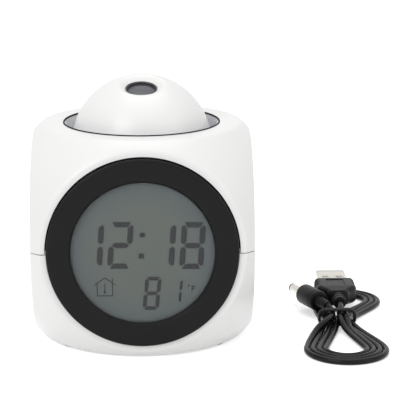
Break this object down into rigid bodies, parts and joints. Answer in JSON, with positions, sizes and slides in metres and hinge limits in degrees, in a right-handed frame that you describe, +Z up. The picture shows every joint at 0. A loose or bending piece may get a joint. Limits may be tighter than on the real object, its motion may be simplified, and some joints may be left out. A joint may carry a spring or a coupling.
{
  "type": "projection alarm clock",
  "caption": "Small rounded-cube bedside clock with a round liquid crystal display on its face, a tilting projector ball in its top that presses down for snooze, rear keys, and a USB power lead.",
  "frame": {"origin": "on the surface the clock stands on, below the middle of the case, at the level of the rubber feet", "axes": "+Z up, -Y out of the display, +Y out of the rear panel, +X to the right as seen from the front; the power lead lies at +X"},
  "size_m": [0.1419, 0.1025, 0.1025],
  "materials": {
    "white_plastic": "satin-gloss injection-moulded white ABS",
    "bezel_black": "satin black ABS",
    "panel_black": "fine-textured black ABS",
    "well_grey": "smooth metallic-grey plastic",
    "key_grey": "satin dark grey plastic",
    "clear_window": "clear acrylic",
    "lcd_glass": "grey-green reflective liquid crystal cell",
    "light_guide_acrylic": "clear acrylic, frosted back",
    "lens_clear": "polished clear acrylic",
    "lamp_red": "clear red epoxy",
    "inner_black": "matte black plastic",
    "rubber_black": "matte black rubber",
    "cord_black": "black PVC, slightly glossy",
    "wire_red": "red PVC insulation",
    "ribbon_grey": "grey flat flexible cable",
    "conductive_pink": "pink silicone with conducting stripes",
    "board_green": "green solder mask on glass fibre",
    "chip_black": "moulded black epoxy",
    "nickel": "bright nickel plating",
    "steel": "zinc-plated steel",
    "switch_black": "black moulded switch body",
    "cone_black": "pressed paper cone",
    "magnet_steel": "nickel-plated ferrite magnet with steel cap",
    "cell_wrap": "printed steel jacket over zinc and manganese, shown with the density of aluminium",
    "plug_white": "white moulded insert"
  },
  "bodies": {
    "case": {"battery_cells": "cell_wrap", "battery_contacts": "nickel", "battery_leads": "wire_red", "board_chips": "chip_black", "board_screws": "steel", "carrier_springs": "steel", "case_screws": "steel", "clock_crystal": "nickel", "dc_jack": "inner_black", "dc_jack_pin": "nickel", "dc_plug_barrel": "nickel", "dc_plug_grip": "cord_black", "dc_plug_tip": "inner_black", "display_bezel": "bezel_black", "display_window": "clear_window", "key_board": "board_green", "key_ribbon": "ribbon_grey", "key_switches": "switch_black", "lcd_panel": "lcd_glass", "lead_tie": "rubber_black", "light_guide": "light_guide_acrylic", "lower_shell": "white_plastic", "main_board": "board_green", "power_lead_hank": "cord_black", "projector_lead": "cord_black", "rear_panel": "panel_black", "rubber_feet": "rubber_black", "slider_switch": "steel", "snooze_switch": "switch_black", "speaker_cone": "cone_black", "speaker_frame": "inner_black", "speaker_leads": "wire_red", "speaker_magnet": "magnet_steel", "thermistor": "chip_black", "upper_shell": "white_plastic", "usb_plug_grip": "cord_black", "usb_plug_shell": "nickel", "usb_plug_tongue": "plug_white", "zebra_strip": "conductive_pink"},
    "carrier": {"ball_carrier": "well_grey"},
    "projector_ball": {"ball_cap": "white_plastic", "ball_base": "white_plastic", "trunnion_pins": "steel", "ball_screws": "steel", "lens_ring": "inner_black", "projection_lens": "lens_clear", "lens_barrel": "inner_black", "slide_lcd": "lcd_glass", "light_box": "inner_black", "condenser_lens": "lens_clear", "projector_led": "lamp_red", "lamp_board": "board_green", "ball_lead": "cord_black"},
    "mode_key": {"mode_key": "key_grey"},
    "set_key": {"set_key": "key_grey"},
    "up_key": {"up_key": "key_grey"},
    "down_key": {"down_key": "key_grey"},
    "alarm_key": {"alarm_key": "key_grey"},
    "projector_slider": {"projector_slider": "key_grey"},
    "battery_door": {"battery_door": "white_plastic"}
  },
  "joints": [
    {"name": "snooze_press", "type": "slide", "parent": "case", "child": "carrier", "axis": [0, 0, -1], "range_m": [0, 0.0015], "stiffness_N_per_m": 600, "springref_m": -0.002, "deforming": ["carrier_springs", "projector_lead"]},
    {"name": "ball_tilt", "type": "hinge", "parent": "carrier", "child": "projector_ball", "pos_m": [0, 0, 0.075], "axis": [1, 0, 0], "range_deg": [-75, 35]},
    {"name": "mode_press", "type": "slide", "parent": "case", "child": "mode_key", "axis": [0, -1, 0], "range_m": [0, 0.0008], "stiffness_N_per_m": 200, "springref_m": -0.002},
    {"name": "set_press", "type": "slide", "parent": "case", "child": "set_key", "axis": [0, -1, 0], "range_m": [0, 0.0008], "stiffness_N_per_m": 200, "springref_m": -0.002},
    {"name": "up_press", "type": "slide", "parent": "case", "child": "up_key", "axis": [0, -1, 0], "range_m": [0, 0.0008], "stiffness_N_per_m": 200, "springref_m": -0.002},
    {"name": "down_press", "type": "slide", "parent": "case", "child": "down_key", "axis": [0, -1, 0], "range_m": [0, 0.0008], "stiffness_N_per_m": 200, "springref_m": -0.002},
    {"name": "alarm_press", "type": "slide", "parent": "case", "child": "alarm_key", "axis": [0, -1, 0], "range_m": [0, 0.0008], "stiffness_N_per_m": 200, "springref_m": -0.002},
    {"name": "projector_switch", "type": "slide", "parent": "case", "child": "projector_slider", "axis": [-1, 0, 0], "range_m": [0, 0.003]},
    {"name": "battery_door_slide", "type": "slide", "parent": "case", "child": "battery_door", "axis": [0, 1, 0], "range_m": [0, 0.035]}
  ]
}
